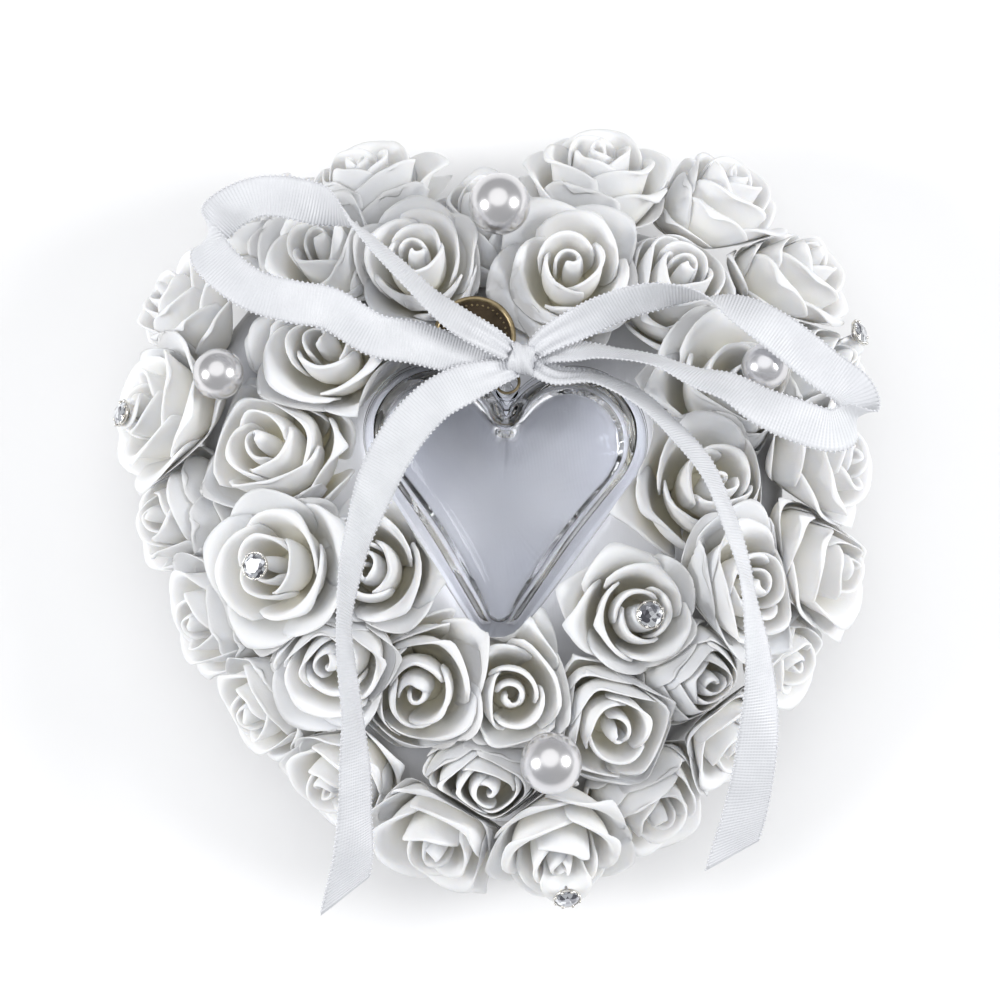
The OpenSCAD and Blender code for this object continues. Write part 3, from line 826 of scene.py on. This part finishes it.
def make_box(material):
    """Clear bowl, and clear lid with its ear. Neither casts a shadow, so the lamps reach the satin inside."""
    v, f = box_shell(RIM_Z - 1.5, RIM_Z - 0.3, BOWL_H - 2.1, False)
    bowl = new_object("ring_box_bowl_clear", v, f, material, "pillow", ("ring_box_bowl",))
    lid_v, lid_f = box_shell(RIM_Z, RIM_Z + 1.3, DOME_H - 1.5, True)
    ear_v, ear_f = revolve([(1.4, 0.2), (1.4, 1.1), (1.6, 1.3), (2.7, 1.3), (2.9, 1.1), (2.9, 0.2),
                            (2.7, 0), (1.6, 0), (1.4, 0.2)], 40)
    ear_v = ear_v + np.array([EAR[0], EAR[1], RIM_Z])
    neck = []
    for y in (21.5, 24.4):
        for x, z in ((-1.7, 0.1), (1.7, 0.1), (1.7, 1.2), (-1.7, 1.2)):
            q = turned(np.array([[x, y]]), BOX_TURN)[0]
            neck.append((q[0], q[1], RIM_Z + z))
    neck_f = [(0, 1, 2, 3), (7, 6, 5, 4), (0, 4, 5, 1), (1, 5, 6, 2), (2, 6, 7, 3), (3, 7, 4, 0)]
    verts, faces, _ = join([(lid_v, lid_f, 0), (ear_v, ear_f, 0), (np.array(neck), neck_f, 0)])
    lid = new_object("ring_box_lid_clear", verts, faces, material, "lid", ("ring_box_lid",))
    bowl.visible_shadow = lid.visible_shadow = False


# Cushion ----------------------------------------------------------------------
def make_cover(material):
    """Satin drawn over the heart-shaped core and down into the pocket, with small puckers."""
    n = 288
    ang = np.linspace(0, 2 * math.pi, n, endpoint=False)
    base = heart_points(*CUSHION_HEART, 60)
    ro = radius_at(base, HUB, ang)
    rp = radius_at(BOX_OUTLINE, HUB, ang) - 1.2
    ray = np.stack([np.cos(ang), np.sin(ang)], axis=1)
    rng = random.Random(5)
    pucker = sum(rng.uniform(0.3, 1.0) * np.sin(k * ang + rng.uniform(0, 6.28))
                 for k in (17, 23, 31, 41, 53, 67))
    pucker /= np.abs(pucker).max()
    drift = sum(np.sin(k * ang + rng.uniform(0, 6.28)) for k in (3, 5, 8)) / 3
    rows = []

    def row(r, z):
        rows.append(np.column_stack([HUB + ray * r[:, None], z if np.ndim(z) else np.full(n, z)]))
    row(ro - 1.0, 2.05)
    for t in np.linspace(0, 1, 12):
        z = 2.05 + 19 * t
        bulge = 0.9 * math.sin(math.pi * min(1, t * 1.15)) ** 0.7 if t > 0 else 0
        row(ro + bulge - 0.1 + 0.55 * pucker * (1 - t) ** 1.3 + 0.25 * drift * math.sin(math.pi * t), z)
    for t in np.linspace(0.1, 1, 12):
        a = t * math.pi / 2
        inset = 11 * (1 - math.cos(a)) ** 0.9
        z = 21.05 + 14.3 * math.sin(a) ** 0.92
        row(ro - inset - 0.1 + 0.12 * pucker * (1 - t), z)
    top_r = ro - 11.1
    for t in np.linspace(0.12, 1, 10):
        r = top_r + (rp - top_r) * t
        row(r, 35.35 + 0.35 * math.sin(math.pi * t) * np.ones(n) + 0.12 * pucker * math.sin(math.pi * t))
    for inset, z in ((0.5, 35.0), (1.2, 33.5), (2.0, 31.5), (3.2, 29.2), (5.0, 26.8), (7.4, 24.9),
                     (10.0, 23.9)):
        row(rp - inset * 0.8 + 0.5, z + 0.1 * pucker)
    for s in (0.6, 0.35, 0.12):
        row((rp - 7.5) * s, 23.45 + 0.05 * pucker * s)
    g = np.array(rows)
    nrm = np.cross(np.roll(g, -1, 1) - np.roll(g, 1, 1), np.gradient(g, axis=0))
    nrm /= np.maximum(np.linalg.norm(nrm, axis=2, keepdims=True), 1e-9)
    back = g - nrm * 0.35
    m = len(rows) * n
    verts = np.concatenate([g.reshape(-1, 3), back.reshape(-1, 3)])
    f = grid_faces(n, len(rows), wrap=True)
    faces = f + [(a + m, d + m, c + m, b + m) for a, b, c, d in f]
    faces += [(k, k + m, (k + 1) % n + m, (k + 1) % n) for k in range(n)]
    last = (len(rows) - 1) * n
    faces += [tuple(last + k for k in range(n)), tuple(m + last + k for k in range(n - 1, -1, -1))]
    ob = new_object("satin_cover_cloth", verts, faces, material, "pillow", ("satin_cover",))


# Pearls, stones, charm ----------------------------------------------------------
def make_pearls(material):
    """Round beads, each with the hole for its pin underneath."""
    for name, (x, y, z, r) in PEARLS.items():
        prof = [(0, -r + 1.2), (0.48, -r + 1.1), (0.5, -r + 0.25), (0.75, -r + 0.06)]
        prof += [(r * math.sin(a), -r * math.cos(a)) for a in np.linspace(0.16, math.pi - 0.1, 30)]
        prof.append((0, r))
        v, f = revolve(prof, 56, (x, y, z))
        new_object(name + "_bead", v, f, material, "pillow", (name,))


def stone_points():
    """Brilliant cut: table, star and kite facets above the girdle, pavilion below."""
    r, v, f = STONE_R, [], []

    def ring(n, rad, z, off):
        base = len(v)
        turns = [2 * math.pi * (k + off) / n for k in range(n)]
        v.extend((rad * math.cos(a), rad * math.sin(a), z) for a in turns)
        return [base + k for k in range(n)]
    table = ring(8, r * 0.56, 4.1, 0)
    mid = ring(8, r * 0.80, 3.72, 0.5)
    gird = ring(16, r, 3.2, 0)
    low = ring(16, r, 2.98, 0)
    pav = ring(8, r * 0.45, 2.1, 0.5)
    tip = len(v)
    v.append((0, 0, 1.42))
    f.append(tuple(table))
    for k in range(8):
        k2 = (k + 1) % 8
        f += [(table[k], mid[k], table[k2]), (table[k], gird[2 * k], mid[k]),
              (table[k], mid[k - 1], gird[2 * k])]
        f += [(mid[k], gird[2 * k], gird[2 * k + 1]), (mid[k], gird[2 * k + 1], gird[(2 * k + 2) % 16])]
        f += [(low[2 * k], pav[k], low[2 * k + 1]), (low[2 * k + 1], pav[k], low[(2 * k + 2) % 16])]
        f += [(low[2 * k], pav[k - 1], pav[k]), (pav[k], pav[k - 1], tip)]
    f += [(gird[k], low[k], low[(k + 1) % 16], gird[(k + 1) % 16]) for k in range(16)]
    return np.array(v), f


def make_stones(crystal, metal):
    """Cut stones on their roses, each in a cup with eight small beads."""
    sv, sf = stone_points()
    cup_v, cup_f = revolve([(0, 1.1), (1.2, 1.35), (2.3, 2.1), (3.05, 2.5), (3.15, 2.8), (3.12, 3.15),
                            (2.98, 3.3), (2.86, 3.2), (2.86, 2.9), (2.2, 2.5), (1.2, 1.75), (0, 1.5)], 40)
    stones, cups = [], []
    for rose, x, y in STONES:
        q = ROSES[rose - 1]
        ax = axes(q[3], q[4])

        def put(v):
            return (v + np.array([x, y, ROSE_H])) @ ax.T + np.array(q[:3], float)
        stones.append((put(sv), sf, 0))
        cups.append((put(cup_v), cup_f, 0))
        bead_v, bead_f = revolve([(0, -0.42), (0.3, -0.3), (0.42, 0), (0.3, 0.3), (0, 0.42)], 10)
        for k in range(8):
            a = 2 * math.pi * (k + 0.5) / 8
            at = np.array([2.92 * math.cos(a), 2.92 * math.sin(a), 3.32])
            cups.append((put(bead_v + at), bead_f, 0))
    v, f, _ = join(stones)
    new_object("rhinestones_cut", v, f, crystal, "pillow", ("rhinestones",), smooth=False)
    v, f, _ = join(cups)
    new_object("rhinestone_settings", v, f, metal, "pillow", ("rhinestone_cups",))


def make_charm(bronze, brass):
    """Medallion with a raised rim, a ring of dots, a plain raised heart, its bail and its jump ring."""
    r, h = CHARM_R, CHARM_T / 2
    disc = revolve([(0, -h + 0.1), (r - 1.4, -h + 0.1), (r - 0.9, -h), (r - 0.3, -h + 0.1),
                    (r, -h + 0.4), (r, h - 0.4)], 72)
    rim = revolve([(r, h - 0.42), (r - 0.12, h - 0.12), (r - 0.5, h), (r - 0.95, h - 0.12),
                   (r - 1.2, h - 0.5)], 72)
    face = revolve([(r - 1.18, h - 0.48), (r - 1.6, h - 0.55), (r * 0.5, h - 0.5), (0, h - 0.48)], 72)
    parts = [(*disc, 0), (*rim, 1), (*face, 0)]
    bead_v, bead_f = revolve([(0, 0.28), (0.2, 0.2), (0.3, 0), (0.3, -0.2)], 10)
    bead_f = [tuple(reversed(q)) for q in bead_f]
    for k in range(36):
        a = 2 * math.pi * k / 36
        at = np.array([(r - 2.1) * math.cos(a), (r - 2.1) * math.sin(a), h - 0.5])
        parts.append((bead_v + at, bead_f, 1))
    heart = even(heart_points(1.9, 1.4, 2.35, -3.6, 0.35, 20), 80)
    rows = []
    for s in np.linspace(1, 0.04, 9):
        z = h - 0.55 + 0.55 * math.sqrt(max(0, 1 - s ** 2.2))
        rows.append(np.column_stack([heart * s, np.full(80, z)]))
    relief = np.array(rows).reshape(-1, 3)
    hv = np.column_stack([turned(relief[:, :2], -90), relief[:, 2]])
    parts.append((hv, grid_faces(80, 9, wrap=True) + [tuple(8 * 80 + k for k in range(80))], 1))
    middle = np.array([CHARM_REACH, 0, 0])
    bail = torus((RING_R + 0.15, 0, 0), (0, 1, 0), BAIL_R, BAIL_WIRE)
    v, f, mats = join([(v + middle, f, k) for v, f, k in parts] + [(*bail, 1)])
    place = axes(CHARM_AZ, 0)
    origin = np.array([EAR[0], EAR[1], CHARM_Z])
    new_object("charm_medallion", v @ place.T + origin, f, [bronze, brass], "charm",
               ("charm_disc",), mats=mats)
    ring_v, ring_f = torus((0, 0, 0), (0, 0, 1), RING_R, RING_WIRE, 48, 12)
    new_object("charm_jump_ring", ring_v @ place.T + origin, ring_f, brass, "charm",
               ("charm_ring",))


def flat_uv(ob, across, along):
    """UV straight from two of the piece's own coordinates, at the ribbon's scale."""
    layer = ob.data.uv_layers.new(name="UVMap")
    for loop in ob.data.loops:
        c = ob.data.vertices[loop.vertex_index].co
        layer.data[loop.index].uv = (c[across] * 120, c[along] * 120)


def make_knot(material):
    """Small tight knot: a folded core, two bands wrapped over it, and the twisted tie below."""
    parts = []
    nu, nv = 40, 26
    core = np.zeros((nv, nu, 3))
    for j in range(nv):
        b = -math.pi / 2 + math.pi * (0.02 + 0.96 * j / (nv - 1))
        for i in range(nu):
            a = 2 * math.pi * i / nu
            fold = 1 + 0.07 * math.sin(5 * a + 3 * math.sin(b)) + 0.05 * math.sin(9 * a + 1.3)
            core[j, i] = (3.3 * math.cos(b) * math.cos(a) * fold, 2.7 * math.cos(b) * math.sin(a) * fold,
                          2.7 * math.sin(b) * fold)
    faces = grid_faces(nu, nv, wrap=True)
    faces += [tuple(range(nu - 1, -1, -1)), tuple((nv - 1) * nu + k for k in range(nu))]
    parts.append((core.reshape(-1, 3), faces, 0))
    for lean, width, reach in ((0.15, 5.2, 3.05), (-0.55, 3.0, 3.45)):
        n, w = 56, 11
        g = np.zeros((n, w, 3))
        for i in range(n):
            a = 2 * math.pi * i / (n - 1)
            for j in range(w):
                u = -1 + 2 * j / (w - 1)
                rad = reach + 0.35 * (1 - u * u) + 0.18 * math.sin(5 * u + 1.5 * math.sin(a))
                x = u * width / 2 * (1 - 0.15 * math.cos(a) ** 2) + 0.3 * math.sin(2 * a)
                g[i, j] = (x + lean * rad * math.cos(a), rad * 0.94 * math.cos(a), rad * 0.9 * math.sin(a))
        parts.append((*shell(g, 0.35, edge=0.7), 0))
    v, f, _ = join(parts)
    v = v @ axes(-10, 0).T + np.array(KNOT)
    flat_uv(new_object("bow_knot_ribbon", v, f, material, "lid", ("bow_knot",)), 0, 1)
    path = [(EAR[0], EAR[1], RIM_Z - 1.0), (EAR[0], EAR[1], RIM_Z + 4), (EAR[0], EAR[1], RIM_Z + 9),
            (EAR[0] + 0.5, EAR[1] + 0.5, RIM_Z + 11.6), (EAR[0] + 1.9, EAR[1] + 1.8, RIM_Z + 12.4)]
    line, _ = spline(path, 0.35)
    t = np.gradient(line, axis=0)
    t /= np.linalg.norm(t, axis=1, keepdims=True)
    side = np.cross(t, np.array([0.7, -0.7, 0.1]))
    side /= np.linalg.norm(side, axis=1, keepdims=True)
    other = np.cross(t, side)
    ring = []
    for i, q in enumerate(line):
        for k in range(18):
            a = 2 * math.pi * k / 18
            r = 0.74 + 0.14 * math.cos(3 * a + i * 0.42)
            ring.append(q + side[i] * r * math.cos(a) + other[i] * r * math.sin(a))
    m = len(line)
    faces = [tuple(reversed(q)) for q in grid_faces(18, m, wrap=True)]
    faces += [tuple(range(18)), tuple((m - 1) * 18 + k for k in range(17, -1, -1))]
    stop_v, stop_f = revolve([(0, -0.8), (0.8, -0.75), (1.3, -0.35), (1.38, 0), (1.25, 0.4),
                              (0.8, 0.72), (0, 0.8)], 24)
    stop_v = stop_v + np.array([EAR[0], EAR[1], RIM_Z - 1.2])
    v, f, _ = join([(np.array(ring), faces, 0), (stop_v, stop_f, 0)])
    flat_uv(new_object("bow_tie_cord", v, f, material, "lid", ("bow_tie",)), 2, 0)


# Floor and light --------------------------------------------------------------
def make_stage():
    """Pale floor just under the pillow, an even studio world and three round lamps."""
    mesh = bpy.data.meshes.new("floor")
    corners = [(x, y, -0.0003) for x, y in ((-2, -2), (2, -2), (2, 2), (-2, 2))]
    mesh.from_pydata(corners, [], [(0, 1, 2, 3)])
    m = Nodes("floor_white").set(Specular_IOR_Level=0.2)
    n = m.noise(3, 2)
    col = m.ramp(n, "Fac", [(0.3, (0.93, 0.93, 0.935)), (0.7, (0.95, 0.95, 0.955))])
    m.link(col, "Color", m.bsdf, "Base Color")
    m.bsdf.inputs["Roughness"].default_value = 0.8
    mesh.materials.append(m.mat)
    floor = bpy.data.objects.new("floor", mesh)
    bpy.context.scene.collection.objects.link(floor)
    world = bpy.data.worlds.new("studio")
    world.use_nodes = True
    bg = world.node_tree.nodes["Background"]
    bg.inputs["Color"].default_value = (0.96, 0.975, 1.0, 1)
    bg.inputs["Strength"].default_value = WORLD
    bpy.context.scene.world = world
    bpy.context.scene.view_settings.view_transform = "Standard"
    for name, at, size, power in LIGHTS:
        data = bpy.data.lights.new(name, "AREA")
        data.shape = "DISK"
        data.size = size
        data.energy = power
        lamp = bpy.data.objects.new(name, data)
        lamp.location = at
        lamp.rotation_euler = (Vector((0, 0, 0.03)) - Vector(at)).to_track_quat("-Z", "Y").to_euler()
        bpy.context.scene.collection.objects.link(lamp)


WORLD = 0.42
LIGHTS = [("softbox_right", (0.78, -0.1, 0.56), 0.4, 5.0), ("softbox_left", (-0.8, -0.05, 0.52), 0.36, 4.4),
          ("overhead", (-0.1, 0.3, 1.5), 2.0, 8.5)]

make_camera()
# Each pair is the foam's own colour and a painted cream shade for deep in the rose.
foams = [foam_material(f"rose_foam_{k}", light, deep, 7 * k) for k, (light, deep) in enumerate([
    ((0.90, 0.90, 0.905), (0.86, 0.82, 0.68)), ((0.91, 0.91, 0.91), (0.87, 0.83, 0.70)),
    ((0.895, 0.893, 0.895), (0.85, 0.81, 0.66))])]
satin = satin_material("cushion_satin", (0.72, 0.73, 0.77), (0.64, 0.65, 0.69), 420, 0.15, (0.45, 0.6))
ribbon = ribbon_material()
clear = clear_material()
steel = metal_material("bright_wire", (0.72, 0.72, 0.74), (0.5, 0.5, 0.52))
plate = metal_material("stone_plating", (0.8, 0.79, 0.76), (0.55, 0.52, 0.47), (0.15, 0.3))
bronze = metal_material("old_bronze", (0.07, 0.052, 0.034), (0.025, 0.019, 0.013), (0.35, 0.55))
brass = metal_material("worn_brass", (0.42, 0.34, 0.2), (0.16, 0.12, 0.07), (0.25, 0.42))

make_roses(foams)
make_cover(satin)
make_box(clear)
for ribbon_name in RIBBONS:
    make_ribbon(ribbon_name, ribbon, "tail" in ribbon_name)
make_knot(ribbon)
make_charm(bronze, brass)
make_pearls(pearl_material())
make_stones(crystal_painted_reflections_material(), plate)
for node, material in (("back_board", board_material()), ("foam_core", bead_foam_material()),
                       ("pearl_pins", steel), ("rhinestone_pins", steel)):
    NODES[node].data.materials.clear()
    NODES[node].data.materials.append(material)
make_stage()
